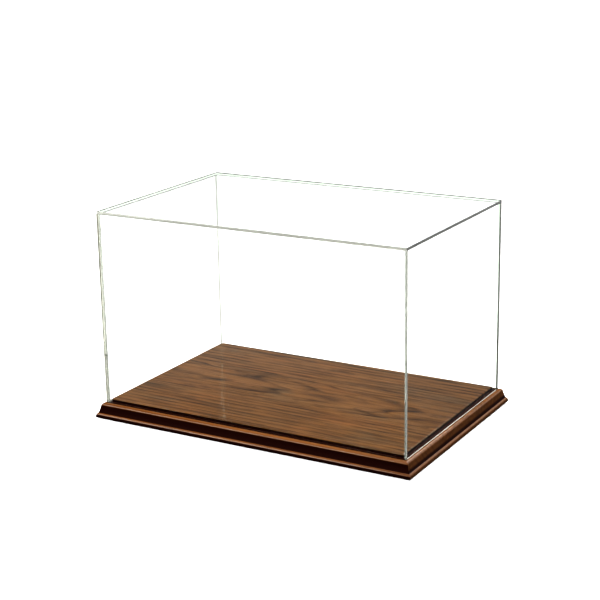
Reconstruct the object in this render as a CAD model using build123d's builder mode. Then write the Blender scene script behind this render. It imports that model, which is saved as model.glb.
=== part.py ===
from build123d import *
from math import cos, radians, sin
import os

# Display case: a clear acrylic cover that stands on the ledge of a moulded hardwood base.
#
# Millimetres. +X runs along the case's long side, +Y from its front to its back, +Z up.
# The origin is on the surface that the case stands on, under the middle of the base.

# Cover: five sheets of clear acrylic, solvent-welded edge to face
cover_length = 356.0  # outside, along X
cover_depth = 230.0  # outside, along Y
cover_height = 210.0  # from the ledge it stands on to its top face
sheet_thickness = 3.0
sheet_edge_chamfer = 0.4  # the scraped and polished outer edges

# Base: one solid board, with its ledge, raised panel and moulded edge all routed from it
ledge_height = 16.0  # above the board's underside
panel_rise = 3.5  # of the raised panel above the ledge
panel_clearance = 1.8  # each side, from the raised panel to the inside of the cover
panel_edge_radius = 1.0
base_overhang = 8.8  # from the cover's outside to the nose of the moulding
stave_count = 3  # glued edge to edge to make the board's depth

# Moulded edge, from the ledge outward and down: margin, shoulder, cove, bead
ledge_margin = 1.0  # flat strip left outside the cover
shoulder_radius = 3.4
shoulder_sweep = 80.0  # degrees that the shoulder turns through, from level towards upright
bead_step = 2.2  # from the foot of the cove out to the nose
bead_height = 5.6  # from the board's underside to the foot of the cove
nose_height = 1.8  # where the bead stands out furthest, above the board's underside
lower_edge_radius = 0.8

# Feet: low rubber bumpers stuck under the board's corners
foot_diameter = 12.7
foot_thickness = 2.2
foot_edge_radius = 0.6
foot_inset = 22.0  # from the base's outer edges to the middle of a foot

# Heights and lengths that follow
underside = foot_thickness
ledge = underside + ledge_height
panel_top = ledge + panel_rise
wall_top = ledge + cover_height - sheet_thickness
base_length = cover_length + 2 * base_overhang
base_depth = cover_depth + 2 * base_overhang
stave_width = base_depth / stave_count

STAVE_NAMES = ["base_stave_front", "base_stave_middle", "base_stave_back"]

os.makedirs("parts", exist_ok=True)


def finish(part, name):
    """Labels a finished piece and writes it to its own file."""
    part.label = name
    export_step(part, f"parts/{name}.step")
    print(f"{name:20s} {part.volume / 1000:9.2f} cm3")


def board_section(half_cover):
    """The board's upright cross-section, for a cover that reaches half_cover from the middle."""
    nose = half_cover + base_overhang
    panel_side = half_cover - sheet_thickness - panel_clearance
    shoulder_centre = (half_cover + ledge_margin, ledge - shoulder_radius)
    turned = radians(shoulder_sweep)
    shoulder_foot = (
        shoulder_centre[0] + shoulder_radius * sin(turned),
        shoulder_centre[1] + shoulder_radius * cos(turned),
    )
    cove_foot = (nose - bead_step, underside + bead_height)
    bead_nose = (nose, underside + nose_height)
    with BuildSketch() as section:
        with BuildLine():
            Line((0, underside), (nose - lower_edge_radius, underside))
            RadiusArc(
                (nose - lower_edge_radius, underside),
                (nose, underside + lower_edge_radius),
                -lower_edge_radius,
            )
            Line((nose, underside + lower_edge_radius), bead_nose)
            TangentArc(bead_nose, cove_foot, tangent=(0, 1))
            TangentArc(shoulder_foot, cove_foot, tangent=(cos(turned), -sin(turned)))
            CenterArc(shoulder_centre, shoulder_radius, 90 - shoulder_sweep, shoulder_sweep)
            Line((shoulder_centre[0], ledge), (panel_side, ledge))
            Line((panel_side, ledge), (panel_side, panel_top - panel_edge_radius))
            RadiusArc(
                (panel_side, panel_top - panel_edge_radius),
                (panel_side - panel_edge_radius, panel_top),
                -panel_edge_radius,
            )
            Line((panel_side - panel_edge_radius, panel_top), (0, panel_top))
            mirror(about=Plane.YZ)
        make_face()
    return section.sketch


# Base staves: the grain runs along X, and the moulding runs round all four sides of the board
for number, name in enumerate(STAVE_NAMES):
    back_face = -base_depth / 2 + (number + 1) * stave_width
    with BuildPart() as stave:
        with BuildSketch(Plane.XZ.offset(-back_face)):
            add(board_section(cover_length / 2))
        extrude(amount=stave_width)
        with BuildSketch(Plane.YZ.offset(-base_length / 2)):
            add(board_section(cover_depth / 2))
        extrude(amount=base_length, mode=Mode.INTERSECT)
    finish(stave.part, name)

# Cover walls: the front and back run the full length, and the two ends fit between them
for name, side in (("cover_front", -1), ("cover_back", 1)):
    wall_middle = side * (cover_depth - sheet_thickness) / 2
    with BuildPart() as long_wall:
        with BuildSketch(Plane.XY.offset(ledge)):
            with Locations((0, wall_middle)):
                Rectangle(cover_length, sheet_thickness)
        extrude(amount=wall_top - ledge)
        upright_edges = long_wall.edges().filter_by(Axis.Z).group_by(Axis.Y)
        chamfer(upright_edges[0 if side < 0 else -1], length=sheet_edge_chamfer)
    finish(long_wall.part, name)

for name, side in (("cover_left", -1), ("cover_right", 1)):
    wall_middle = side * (cover_length - sheet_thickness) / 2
    with BuildPart() as end_wall:
        with BuildSketch(Plane.XY.offset(ledge)):
            with Locations((wall_middle, 0)):
                Rectangle(sheet_thickness, cover_depth - 2 * sheet_thickness)
        extrude(amount=wall_top - ledge)
    finish(end_wall.part, name)

# Cover top: lies over the upper edges of all four walls
with BuildPart() as cover_top:
    with BuildSketch(Plane.XY.offset(wall_top)):
        Rectangle(cover_length, cover_depth)
    extrude(amount=sheet_thickness)
    chamfer(cover_top.edges().group_by(Axis.Z)[-1], length=sheet_edge_chamfer)
    chamfer(cover_top.edges().filter_by(Axis.Z), length=sheet_edge_chamfer)
finish(cover_top.part, "cover_top")

# Feet: one under each corner of the board
foot_spread_x = base_length / 2 - foot_inset
foot_spread_y = base_depth / 2 - foot_inset
for end, side_x in (("left", -1), ("right", 1)):
    for face, side_y in (("front", -1), ("back", 1)):
        with BuildPart() as foot:
            with BuildSketch():
                with Locations((side_x * foot_spread_x, side_y * foot_spread_y)):
                    Circle(foot_diameter / 2)
            extrude(amount=foot_thickness)
            fillet(foot.edges().group_by(Axis.Z)[0], radius=foot_edge_radius)
        finish(foot.part, f"foot_{face}_{end}")
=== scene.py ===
import math

import bmesh
import bpy
from mathutils import Matrix, Vector


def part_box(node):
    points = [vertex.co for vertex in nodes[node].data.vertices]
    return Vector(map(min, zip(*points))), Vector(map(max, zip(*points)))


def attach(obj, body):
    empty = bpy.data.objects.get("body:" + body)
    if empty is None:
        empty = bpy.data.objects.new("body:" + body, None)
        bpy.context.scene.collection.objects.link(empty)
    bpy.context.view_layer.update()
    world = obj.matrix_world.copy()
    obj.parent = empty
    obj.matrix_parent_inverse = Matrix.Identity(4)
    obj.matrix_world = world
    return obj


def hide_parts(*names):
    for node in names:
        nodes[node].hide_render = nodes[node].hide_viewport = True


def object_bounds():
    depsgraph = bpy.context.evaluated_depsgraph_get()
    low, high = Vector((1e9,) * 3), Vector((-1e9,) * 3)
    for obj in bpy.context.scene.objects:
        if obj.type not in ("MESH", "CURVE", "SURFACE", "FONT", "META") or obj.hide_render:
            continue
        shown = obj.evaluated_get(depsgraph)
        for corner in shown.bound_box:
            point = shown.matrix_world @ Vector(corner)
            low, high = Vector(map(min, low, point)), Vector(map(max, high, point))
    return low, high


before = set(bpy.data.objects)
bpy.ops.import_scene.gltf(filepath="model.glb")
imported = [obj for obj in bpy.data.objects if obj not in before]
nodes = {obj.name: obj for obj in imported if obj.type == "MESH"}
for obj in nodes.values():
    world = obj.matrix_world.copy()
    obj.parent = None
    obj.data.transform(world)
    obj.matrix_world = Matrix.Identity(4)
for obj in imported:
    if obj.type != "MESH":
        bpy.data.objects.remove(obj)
cad_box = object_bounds()
scene = bpy.context.scene

X, Y, Z = 0, 1, 2

# heights on the base, and the cover's outside corner
BEAD_HEIGHT = 0.0056  # from the board's underside to the foot of the cove
SHOULDER_DROP = 0.0028  # from the ledge to the foot of the shoulder
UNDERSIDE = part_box("base_stave_middle")[0].z
PANEL_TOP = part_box("base_stave_middle")[1].z
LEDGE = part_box("cover_front")[0].z
CREASE = UNDERSIDE + BEAD_HEIGHT  # where the cove meets the bead
SHOULDER_FOOT = LEDGE - SHOULDER_DROP
HALF_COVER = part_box("cover_top")[1]


# ---------------------------------------------------------------- node helpers
class Tree:
    """A node tree being built: each call adds a node and returns it."""

    def __init__(self, owner):
        owner.use_nodes = True
        self.tree = owner.node_tree
        self.tree.nodes.clear()

    def add(self, kind, sockets=None, **settings):
        n = self.tree.nodes.new(kind)
        for key, value in settings.items():
            setattr(n, key, value)
        for key, value in (sockets or {}).items():
            self.put(n.inputs[key], value)
        return n

    def put(self, socket, value):
        if isinstance(value, bpy.types.NodeSocket):
            self.tree.links.new(value, socket)
        else:
            socket.default_value = value

    def math(self, operation, a, b=0.0, c=0.0, clamp=False):
        n = self.add("ShaderNodeMath", {0: a, 1: b, 2: c}, operation=operation, use_clamp=clamp)
        return n.outputs[0]

    def noise(self, vector, scale, detail, roughness=0.5, distortion=0.0):
        """Noise from 0 to 1, with scale patches to the metre."""
        settings = {"Vector": vector, "Scale": scale, "Detail": detail, "Roughness": roughness}
        settings["Distortion"] = distortion
        return self.add("ShaderNodeTexNoise", settings).outputs["Fac"]

    def range(self, value, low, high, to_low=0.0, to_high=1.0):
        """Goes from to_low to to_high as value goes from low to high, and no further."""
        n = self.add(
            "ShaderNodeMapRange",
            {"Value": value, "From Min": low, "From Max": high, "To Min": to_low, "To Max": to_high},
            clamp=True,
        )
        return n.outputs[0]

    def blend(self, factor, a, b):
        """Mixes two numbers."""
        return self.math("MULTIPLY_ADD", factor, self.math("SUBTRACT", b, a), a)

    def mix(self, factor, a, b):
        """Mixes two colours."""
        n = self.add("ShaderNodeMix", data_type="RGBA")
        self.put(n.inputs[0], factor)
        self.put(n.inputs[6], a)
        self.put(n.inputs[7], b)
        return n.outputs[2]


def material(name):
    m = bpy.data.materials.new(name)
    return m, Tree(m)


# ---------------------------------------------------------------- wood
FIBRE_BROWNS = ((0.196, 0.088, 0.029, 1), (0.315, 0.154, 0.055, 1))
OLIVE = (0.180, 0.118, 0.062, 1)
ORANGE = (0.310, 0.130, 0.042, 1)
LATE_WOOD = (0.034, 0.0165, 0.0075, 1)
ROUTED_RUSSET = (0.31, 0.112, 0.027, 1)
# the dark red-brown painted as shade into the cove, the crease, the bead's flank and the groove
PAINTED_SHADE = (0.028, 0.0022, 0.0009, 1)
GROOVE_SHADE_MARGINS = (0.0006, 0.0002)  # how far past the cover's ends and sides the groove's painted shade reaches, as the shadow at the cover's foot


def wood(name, seed, pith_y, pith_depth, lean, ring, wild):
    """Stained, varnished hardwood cut from a log whose pith runs along X: long grain on the top and
    the long edges, ring arcs and open pores on the two ends. At the middle of the case the pith is at
    pith_y, pith_depth below the feet, and lean is how fast it drops towards +X. ring is the width of a
    year's growth, wild is how far the figure wanders, and seed picks the pattern."""
    m, t = material(name)
    place = t.add("ShaderNodeTexCoord").outputs
    here = place["Object"]
    xyz = t.add("ShaderNodeSeparateXYZ", {0: here}).outputs
    facing = t.add("ShaderNodeSeparateXYZ", {0: place["Normal"]}).outputs
    shift = (seed * 1.37, seed * 0.71, seed * 0.29)

    def figure(along, across, detail, roughness, distortion=0.0):
        """Noise with so many patches to the metre along the grain, and so many across it."""
        scale = (along, across, across)
        stretched = t.add("ShaderNodeMapping", {"Vector": here, "Scale": scale, "Location": shift})
        return t.noise(stretched.outputs[0], 1.0, detail, roughness, distortion)

    # growth rings: distance from the leaning pith, pushed about by slow and quick waves along the grain
    slow = figure(4.0, 13.0, 2.0, 0.5)
    quick = figure(13.0, 70.0, 3.0, 0.6)
    across = t.math("SUBTRACT", xyz[Y], pith_y)
    down = t.math("ADD", xyz[Z], t.math("MULTIPLY_ADD", xyz[X], lean, pith_depth))
    squares = t.math("ADD", t.math("MULTIPLY", across, across), t.math("MULTIPLY", down, down))
    radius = t.math("SQRT", squares)
    pushed = t.math("MULTIPLY_ADD", slow, wild, radius)
    pushed = t.math("MULTIPLY_ADD", quick, 0.004, pushed)
    phase = t.math("FRACT", t.math("DIVIDE", pushed, ring))
    late = t.math("POWER", t.range(phase, 0.35, 0.92), 2.0)
    early = t.range(phase, 0.0, 0.10, 1.0, 0.0)
    broken = figure(16.0, 60.0, 2.0, 0.6)
    rings = t.math("MULTIPLY", t.math("MAXIMUM", late, early), t.range(broken, 0.32, 0.62))

    # broad dark streaks and smudges, then fibres and pores, which the ends cut across as dots
    streak = figure(11.0, 175.0, 3.0, 0.55, 0.3)
    smudge = figure(17.0, 75.0, 4.0, 0.65, 0.6)
    fibre = figure(14.0, 700.0, 4.0, 0.6)
    pore = figure(30.0, 420.0, 3.0, 0.6)
    pores = t.range(pore, 0.55, 0.70)

    colour = t.mix(t.range(fibre, 0.30, 0.70), *FIBRE_BROWNS)
    hue = figure(9.0, 34.0, 3.0, 0.6, 0.4)
    colour = t.mix(t.range(hue, 0.30, 0.46, 0.7, 0.0), colour, OLIVE)
    colour = t.mix(t.range(hue, 0.54, 0.72, 0.0, 0.7), colour, ORANGE)
    colour = t.mix(t.math("MULTIPLY", rings, 0.86), colour, LATE_WOOD)
    colour = t.mix(t.range(streak, 0.50, 0.72, 0.0, 0.70), colour, LATE_WOOD)
    colour = t.mix(t.range(smudge, 0.57, 0.72, 0.0, wild * 42.0), colour, LATE_WOOD)
    colour = t.mix(t.math("MULTIPLY", pores, 0.60), colour, LATE_WOOD)

    # the routed edge is redder than the panel; painted shade lies deep in the cove, on the steep flank of
    # the bead and in the groove between the panel and the cover, up to just past the cover's foot, but on
    # the ends of the board only in the crease
    height = xyz[Z]
    ends = t.range(t.math("ABSOLUTE", facing[X]), 0.3, 0.8)
    colour = t.mix(t.range(height, LEDGE + 0.0002, LEDGE + 0.0006, 0.5, 0.0), colour, ROUTED_RUSSET)
    cove = t.range(height, SHOULDER_FOOT, SHOULDER_FOOT + 0.0008, 1.0, 0.0)
    crease = t.range(height, CREASE + 0.0020, CREASE + 0.0042, 1.0, 0.0)
    # steep faces are painted darker, as shade where the overhead light doesn't reach
    flank = t.range(facing[Z], 0.30, 0.50, 1.0, 0.0)
    bead = t.math("MULTIPLY", flank, t.range(ends, 0.0, 1.0, 1.0, 0.15))
    on_bead = t.range(height, CREASE - 0.0003, CREASE, 1.0, 0.0)
    moulding_shade = t.blend(on_bead, t.blend(ends, cove, crease), bead)
    groove = t.range(height, PANEL_TOP - 0.0014, PANEL_TOP - 0.0006, 0.95, 0.0)
    for axis, margin in zip((X, Y), GROOVE_SHADE_MARGINS):
        from_middle = t.math("ABSOLUTE", xyz[axis])
        reach = HALF_COVER[axis] + margin
        groove = t.math("MULTIPLY", groove, t.range(from_middle, reach - 0.0006, reach, 1.0, 0.0))
    painted_shade = t.math("MAXIMUM", t.math("MULTIPLY", moulding_shade, 0.96), groove)
    colour = t.mix(painted_shade, colour, PAINTED_SHADE)

    # pores and rings show in the wood's own surface, and faintly through the coat of varnish
    rough = t.range(fibre, 0.2, 0.8, 0.44, 0.34)
    hollows = t.math("MULTIPLY_ADD", pores, 0.6, t.math("MULTIPLY", rings, 0.2))
    relief = t.math("SUBTRACT", t.math("MULTIPLY", fibre, 0.3), hollows)
    bump = t.add("ShaderNodeBump", {"Height": relief, "Strength": 0.25, "Distance": 0.0002})
    ripple = figure(18.0, 60.0, 2.0, 0.5)
    telegraphed = t.math("MULTIPLY_ADD", pores, -0.12, ripple)
    flow = t.add("ShaderNodeBump", {"Height": telegraphed, "Strength": 0.16, "Distance": 0.0006})
    shader = t.add(
        "ShaderNodeBsdfPrincipled",
        {
            "Base Color": colour,
            "Roughness": rough,
            "Normal": bump.outputs[0],
            "Coat Weight": 0.85,
            "Coat Roughness": 0.10,
            "Coat IOR": 1.5,
            "Coat Normal": flow.outputs[0],
            "Specular IOR Level": 0.1,
        },
    )
    t.add("ShaderNodeOutputMaterial", {"Surface": shader.outputs[0]})
    return m


# ---------------------------------------------------------------- rubber
BLACK_RUBBER = (0.016, 0.014, 0.013, 1)
DUSTY_RUBBER = (0.05, 0.046, 0.042, 1)


def rubber():
    """Matt moulded rubber, a little dusty."""
    m, t = material("foot_rubber")
    here = t.add("ShaderNodeTexCoord").outputs["Object"]
    grain = t.noise(here, 2500.0, 3.0, 0.6)
    dust = t.noise(here, 300.0, 4.0, 0.65)
    colour = t.mix(t.range(dust, 0.45, 0.75), BLACK_RUBBER, DUSTY_RUBBER)
    rough = t.range(dust, 0.3, 0.7, 0.6, 0.8)
    bump = t.add("ShaderNodeBump", {"Height": grain, "Strength": 0.35, "Distance": 0.0001})
    shader = t.add(
        "ShaderNodeBsdfPrincipled",
        {"Base Color": colour, "Roughness": rough, "Normal": bump.outputs[0]},
    )
    t.add("ShaderNodeOutputMaterial", {"Surface": shader.outputs[0]})
    return m


# ---------------------------------------------------------------- acrylic
ACRYLIC_IOR = 1.49
ACRYLIC_TINT = (0.70, 0.80, 0.68, 1.0)
ACRYLIC_DENSITY = 0.9  # with the tint, how fast light guided along a sheet turns pale green
CLEAR_TINT = (0.985, 0.99, 0.988, 1.0)
LAMP_TINT = (0.97, 0.975, 0.973, 1.0)
GUIDED_TINT = (0.99, 1.0, 0.995, 1.0)  # of each meeting with a wide face, for light guided along a sheet
SEEN_IN_VARNISH = 0.35  # how much of a sheet's shine the varnish reflects
SHEET_GAP = 0.00003  # air left at each weld and under the walls, so that no two faces coincide
POLISHED_BEVEL = 0.00012
SHINE_WIDTH = 0.0011  # how much of an edge shines, seen from within its sheet
FACE, EDGE = 0, 1


def clear_glass(t, colour):
    settings = {"Base Color": colour, "Transmission Weight": 1.0, "IOR": ACRYLIC_IOR, "Roughness": 0.0}
    return t.add("ShaderNodeBsdfPrincipled", settings).outputs[0]


def acrylic_output(t, surface):
    volume = t.add("ShaderNodeVolumeAbsorption", {"Color": ACRYLIC_TINT, "Density": ACRYLIC_DENSITY})
    t.add("ShaderNodeOutputMaterial", {"Surface": surface, "Volume": volume.outputs[0]})


def sheet_rays(t):
    """What the sheet materials need to know of a ray: whether it was bent into a sheet and is still
    inside it, and whether it meets a face from behind."""
    path = t.add("ShaderNodeLightPath").outputs
    back = t.add("ShaderNodeNewGeometry").outputs["Backfacing"]
    crossings = t.math("MULTIPLY", path["Transmission Depth"], 0.5)
    inside = t.math("GREATER_THAN", t.math("FRACT", crossings), 0.25)
    return path, back, inside


def let_lamps_in(t, path, shader):
    """Lamps and bounced light pass straight through, as does most of what the varnish reflects."""
    lamp = t.add("ShaderNodeBsdfTransparent", {"Color": LAMP_TINT})
    in_varnish = t.math("SUBTRACT", path["Is Glossy Ray"], path["Is Singular Ray"], clamp=True)
    lit = t.math("MAXIMUM", path["Is Shadow Ray"], path["Is Diffuse Ray"])
    lit = t.math("MAXIMUM", lit, t.math("MULTIPLY", in_varnish, 1.0 - SEEN_IN_VARNISH))
    return t.add("ShaderNodeMixShader", {0: lit, 1: shader, 2: lamp.outputs[0]}).outputs[0]


def acrylic_face():
    """The wide faces of a sheet. They are so close together that a view through them goes straight
    on, but light that came in at an edge is guided between them."""
    m, t = material("acrylic_face")
    here = t.add("ShaderNodeTexCoord").outputs["Object"]
    path, back, inside = sheet_rays(t)
    haze = t.noise(here, 60.0, 4.0, 0.6)
    wave = t.noise(here, 9.0, 1.0, 0.4)
    bump = t.add("ShaderNodeBump", {"Height": wave, "Strength": 0.05, "Distance": 0.001})
    clear = t.add("ShaderNodeBsdfTransparent", {"Color": CLEAR_TINT})
    rough = t.range(haze, 0.45, 0.8, 0.03, 0.07)
    mirror = t.add(
        "ShaderNodeBsdfGlossy", {"Color": (1, 1, 1, 1), "Roughness": rough, "Normal": bump.outputs[0]}
    )
    fresnel = t.add("ShaderNodeFresnel", {"IOR": ACRYLIC_IOR}).outputs[0]
    front = t.math("SUBTRACT", 1.0, back)
    shine = t.math("MULTIPLY", fresnel, front)
    pane = t.add("ShaderNodeMixShader", {0: shine, 1: clear.outputs[0], 2: mirror.outputs[0]})
    guided = t.math("MULTIPLY", inside, back)
    both = t.add("ShaderNodeMixShader", {0: guided, 1: pane.outputs[0], 2: clear_glass(t, GUIDED_TINT)})
    acrylic_output(t, let_lamps_in(t, path, both.outputs[0]))
    return m


def tinted(t, level, green, blue):
    """A grey of that level, with its green and blue scaled."""
    channels = {0: level, 1: t.math("MULTIPLY", level, green), 2: t.math("MULTIPLY", level, blue)}
    return t.add("ShaderNodeCombineColor", channels).outputs[0]


def acrylic_edge(name, ends, sides, glow, foot_glow, shine, foot_shine):
    """The polished edges, which gather light and guide it along the sheet. ends and sides are how much light
    the edges that face along X and the others let through; they are painted light, set sheet by sheet to how
    bright each sheet's edges look. Seen from within the sheet, an edge mirrors by glow, or a level one by
    foot_glow, a painted reflection set the same way. shine and foot_shine each give an axis and how far out
    along it the mirror begins, because the bent view shows only a narrow strip of it."""
    m, t = material(name)
    place = t.add("ShaderNodeTexCoord").outputs
    xyz = t.add("ShaderNodeSeparateXYZ", {0: place["Object"]}).outputs
    facing = t.add("ShaderNodeSeparateXYZ", {0: place["Normal"]}).outputs
    path, back, inside = sheet_rays(t)
    scrape = t.range(t.noise(place["Object"], 45.0, 3.0, 0.6), 0.3, 0.7, 0.88, 1.12)
    let_in = t.math("MULTIPLY", t.range(t.math("ABSOLUTE", facing[X]), 0.4, 0.6, sides, ends), scrape)
    tone = tinted(t, let_in, 1.0, 0.91)
    level = t.range(t.math("ABSOLUTE", facing[Z]), 0.4, 0.6)
    lit = t.math("MULTIPLY", scrape, t.blend(level, glow, foot_glow))
    mirror = t.add("ShaderNodeBsdfGlossy", {"Color": tinted(t, lit, 0.98, 0.93), "Roughness": 0.0})
    clear = t.add("ShaderNodeBsdfTransparent", {"Color": CLEAR_TINT})
    at_end, at_foot = (
        t.math("GREATER_THAN", t.math("ABSOLUTE", xyz[axis]), begins) for axis, begins in (shine, foot_shine)
    )
    strip = t.blend(level, at_end, at_foot)
    within = t.add("ShaderNodeMixShader", {0: strip, 1: clear.outputs[0], 2: mirror.outputs[0]})
    seen_inside = t.math("MULTIPLY", back, t.math("SUBTRACT", 1.0, inside))
    glass = clear_glass(t, tone)
    both = t.add("ShaderNodeMixShader", {0: seen_inside, 1: glass, 2: within.outputs[0]})
    acrylic_output(t, let_lamps_in(t, path, both.outputs[0]))
    return m


face_finish = acrylic_face()


def sheet(node, gaps, ends, sides, glow, foot_glow, shine_axis):
    """One acrylic sheet in the place of its CAD node, with polished, finely bevelled edges.
    gaps names the sides, such as "+Z", that are drawn in by SHEET_GAP. The other values are
    those of acrylic_edge."""
    low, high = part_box(node)
    for side in gaps:
        axis = "XYZ".index(side[1])
        if side[0] == "+":
            high[axis] -= SHEET_GAP
        else:
            low[axis] += SHEET_GAP
    size = high - low
    thin = min(range(3), key=lambda i: size[i])
    bm = bmesh.new()
    bmesh.ops.create_cube(bm, size=1.0)
    for v in bm.verts:
        v.co = Vector(low[i] + (v.co[i] + 0.5) * size[i] for i in range(3))
    bevel = {"offset": POLISHED_BEVEL, "segments": 2, "profile": 0.5, "clamp_overlap": True}
    bmesh.ops.bevel(bm, geom=bm.edges[:], affect="EDGES", **bevel)
    bm.normal_update()
    for face in bm.faces:
        face.material_index = FACE if abs(face.normal[thin]) > 0.999 else EDGE
    mesh = bpy.data.meshes.new(node + "_sheet")
    bm.to_mesh(mesh)
    bm.free()
    piece = bpy.data.objects.new(node + "_sheet", mesh)
    scene.collection.objects.link(piece)
    shine, foot_shine = (
        (axis, max(abs(low[axis]), abs(high[axis])) - SHINE_WIDTH) for axis in (shine_axis, thin)
    )
    mesh.materials.append(face_finish)
    mesh.materials.append(acrylic_edge(node + "_edge", ends, sides, glow, foot_glow, shine, foot_shine))
    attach(piece, "cover")
    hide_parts(node)


# the front and back run the full length, the two ends fit between them and the top lies over all four
full_length = ("-Z", "+Z")
between = ("-Z", "+Z", "-Y", "+Y")
# the edge tones and glows differ from sheet to sheet as painted light, each set to how bright that sheet's
# edges look under the lamps
sheet("cover_front", full_length, ends=0.21, sides=0.22, glow=1.0, foot_glow=0.10, shine_axis=X)
sheet("cover_back", full_length, ends=0.03, sides=0.20, glow=0.75, foot_glow=0.10, shine_axis=X)
sheet("cover_left", between, ends=0.24, sides=0.36, glow=0.70, foot_glow=0.5, shine_axis=X)
sheet("cover_right", between, ends=0.22, sides=0.24, glow=0.18, foot_glow=0.7, shine_axis=X)
sheet("cover_top", (), ends=0.035, sides=0.36, glow=0.04, foot_glow=0.04, shine_axis=Z)


def dress(node, finish):
    """Gives a CAD node its material."""
    data = nodes[node].data
    data.materials.clear()
    data.materials.append(finish)


stave_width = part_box("base_stave_middle")[1].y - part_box("base_stave_middle")[0].y
far_out = stave_width * 1.9
dress(
    "base_stave_front",
    wood("wood_front", seed=3.1, pith_y=-far_out, pith_depth=0.030, lean=0.02, ring=0.0062, wild=0.010),
)
dress(
    "base_stave_middle",
    wood("wood_middle", seed=7.7, pith_y=0.004, pith_depth=0.040, lean=0.06, ring=0.0048, wild=0.020),
)
dress(
    "base_stave_back",
    wood("wood_back", seed=5.2, pith_y=far_out, pith_depth=0.045, lean=-0.02, ring=0.0066, wild=0.010),
)
foot_finish = rubber()
for name in nodes:
    if name.startswith("foot_"):
        dress(name, foot_finish)


# ---------------------------------------------------------------- floor and lamps
FLOOR_REACH = 30.0
FLOOR_GREYS = (0.90, 0.92)
SOFTBOX_DISTANCE = 1.7
MIDDLE = (cad_box[0] + cad_box[1]) / 2


def floor():
    """A wide pale floor that shows directly and through the sheets, but not in any reflection."""
    mesh = bpy.data.meshes.new("floor")
    corners = [(x * FLOOR_REACH, y * FLOOR_REACH, 0) for x, y in ((-1, -1), (1, -1), (1, 1), (-1, 1))]
    mesh.from_pydata(corners, [], [(0, 1, 2, 3)])
    piece = bpy.data.objects.new("floor", mesh)
    scene.collection.objects.link(piece)
    m, t = material("pale_floor")
    here = t.add("ShaderNodeTexCoord").outputs["Object"]
    tone = t.range(t.noise(here, 3.0, 3.0), 0.3, 0.7, *FLOOR_GREYS)
    shade = t.add("ShaderNodeCombineColor", {0: tone, 1: tone, 2: tone})
    diffuse = t.add("ShaderNodeBsdfDiffuse", {"Color": shade.outputs[0]})
    t.add("ShaderNodeOutputMaterial", {"Surface": diffuse.outputs[0]})
    mesh.materials.append(m)
    piece.visible_glossy = False
    piece.visible_diffuse = False
    return piece


pale_floor = floor()


def towards(azimuth, elevation):
    """The way to something at these degrees, seen from the object: 0 is in front, and 90 to the right."""
    a, e = math.radians(azimuth), math.radians(elevation)
    return Vector((math.sin(a) * math.cos(e), -math.cos(a) * math.cos(e), math.sin(e)))


def softbox(name, azimuth, elevation, size, power, distance=SOFTBOX_DISTANCE):
    """A rectangular lamp that faces the middle of the object."""
    light = bpy.data.lights.new(name, "AREA")
    light.shape = "RECTANGLE"
    light.size, light.size_y = size
    light.energy = power
    lamp = bpy.data.objects.new(name, light)
    scene.collection.objects.link(lamp)
    outward = towards(azimuth, elevation)
    lamp.location = MIDDLE + outward * distance
    lamp.rotation_mode = "QUATERNION"
    lamp.rotation_quaternion = (-outward).to_track_quat("-Z", "Y")
    lamp.visible_camera = False
    lamp.visible_transmission = False


softbox("overhead_softbox", azimuth=20.0, elevation=80.0, size=(1.1, 0.8), power=26.0, distance=1.5)
softbox("right_softbox", azimuth=95.0, elevation=42.0, size=(0.7, 0.7), power=3.3)
softbox("front_left_softbox", azimuth=-36.0, elevation=26.0, size=(0.9, 0.4), power=6.5)
softbox("back_softbox", azimuth=171.0, elevation=34.0, size=(1.0, 0.4), power=3.0)
softbox("low_back_softbox", azimuth=150.0, elevation=17.0, size=(0.5, 0.5), power=0.6)

only_floor = bpy.data.collections.new("lit_by_floor_lights")
only_floor.objects.link(pale_floor)


def floor_light(name, energy, spread, casts):
    """Lights the floor alone, so that it is white whatever the light on the object."""
    light = bpy.data.lights.new(name, "SUN")
    light.energy = energy
    light.angle = math.radians(spread)
    light.use_shadow = casts
    lamp = bpy.data.objects.new(name, light)
    scene.collection.objects.link(lamp)
    lamp.light_linking.receiver_collection = only_floor


floor_light("floor_fill", energy=2.5, spread=10.0, casts=False)
floor_light("floor_shade", energy=1.0, spread=100.0, casts=True)


# ---------------------------------------------------------------- world
WHITE_SWEEP = 1.05
DIM_FRONT = 0.006
DIM_BACK = 0.05
LOW_WHITE = 0.32

world = bpy.data.worlds.new("studio")
scene.world = world
w = Tree(world)
direction = w.add("ShaderNodeTexCoord").outputs["Generated"]
sky = w.add("ShaderNodeSeparateXYZ", {0: direction}).outputs

# reflections show a dim studio, a little brighter towards the back, with a band of white low behind
away = w.range(sky[Y], -0.2, 0.8, DIM_FRONT, DIM_BACK)
band = w.math("MULTIPLY", w.range(sky[Z], 0.02, 0.12), w.range(sky[Z], 0.315, 0.345, LOW_WHITE, 0.0))
low_white = w.math("MULTIPLY", band, w.range(sky[Y], 0.2, 0.6))
dim = w.math("ADD", away, low_white)
studio = w.add("ShaderNodeBackground", {"Color": (1, 1, 1, 1), "Strength": dim})

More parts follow.
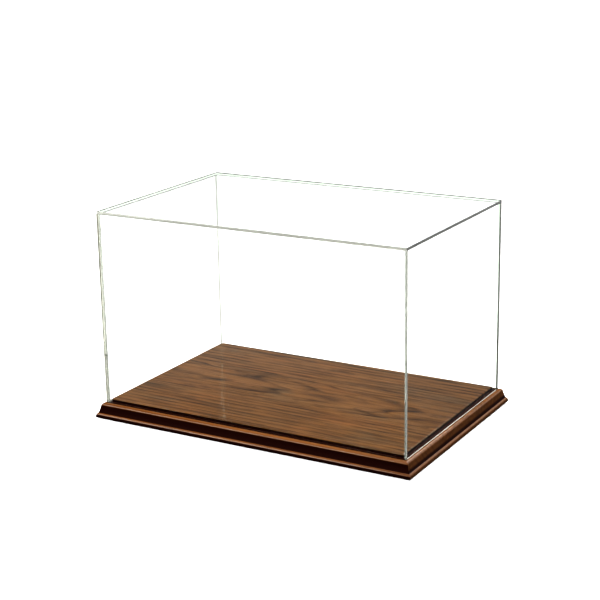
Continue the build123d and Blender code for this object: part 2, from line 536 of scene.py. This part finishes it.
# the white sweep is seen directly and by light guided through the sheets, but not in the varnish
white = w.add("ShaderNodeBackground", {"Color": (1, 1, 1, 1), "Strength": WHITE_SWEEP})
rays = w.add("ShaderNodeLightPath")
clear_rays = w.math("MAXIMUM", rays.outputs["Is Transmission Ray"], rays.outputs["Is Singular Ray"])
seen_white = w.math("MAXIMUM", rays.outputs["Is Camera Ray"], clear_rays)
both = w.add("ShaderNodeMixShader", {0: seen_white, 1: studio.outputs[0], 2: white.outputs[0]})
w.add("ShaderNodeOutputWorld", {"Surface": both.outputs[0]})


# ---------------------------------------------------------------- camera
CAMERA_AZIMUTH = 29.96
CAMERA_ELEVATION = 16.11
CAMERA_ROLL = 1.00
CAMERA_DISTANCE = 1.5982
CAMERA_LENS = 88.68
SENSOR_WIDTH = 36.0
AIM_RIGHT = -0.0038  # from the middle of the case at the height of the ledge
AIM_UP = 0.1033

outward = towards(CAMERA_AZIMUTH, CAMERA_ELEVATION)
azimuth = math.radians(CAMERA_AZIMUTH)
right = Vector((math.cos(azimuth), math.sin(azimuth), 0.0))
upward = outward.cross(right)
roll = math.radians(CAMERA_ROLL)
right_rolled = right * math.cos(roll) - upward * math.sin(roll)
up_rolled = upward * math.cos(roll) + right * math.sin(roll)
aim = Vector((0, 0, LEDGE)) + right_rolled * AIM_RIGHT + up_rolled * AIM_UP
camera_data = bpy.data.cameras.new("camera")
camera_data.lens = CAMERA_LENS
camera_data.sensor_width = SENSOR_WIDTH
camera = bpy.data.objects.new("camera", camera_data)
scene.collection.objects.link(camera)
turn = Matrix((right_rolled, up_rolled, outward)).transposed().to_4x4()
camera.matrix_world = Matrix.Translation(aim + outward * CAMERA_DISTANCE) @ turn
scene.camera = camera

scene.view_settings.view_transform = "Standard"
scene.view_settings.look = "High Contrast"
guided_bounces = 160  # the most times that light guided along a sheet may meet its faces
scene.cycles.max_bounces = guided_bounces
scene.cycles.transmission_bounces = guided_bounces
scene.cycles.glossy_bounces = guided_bounces
scene.cycles.diffuse_bounces = 3
scene.cycles.transparent_max_bounces = 32
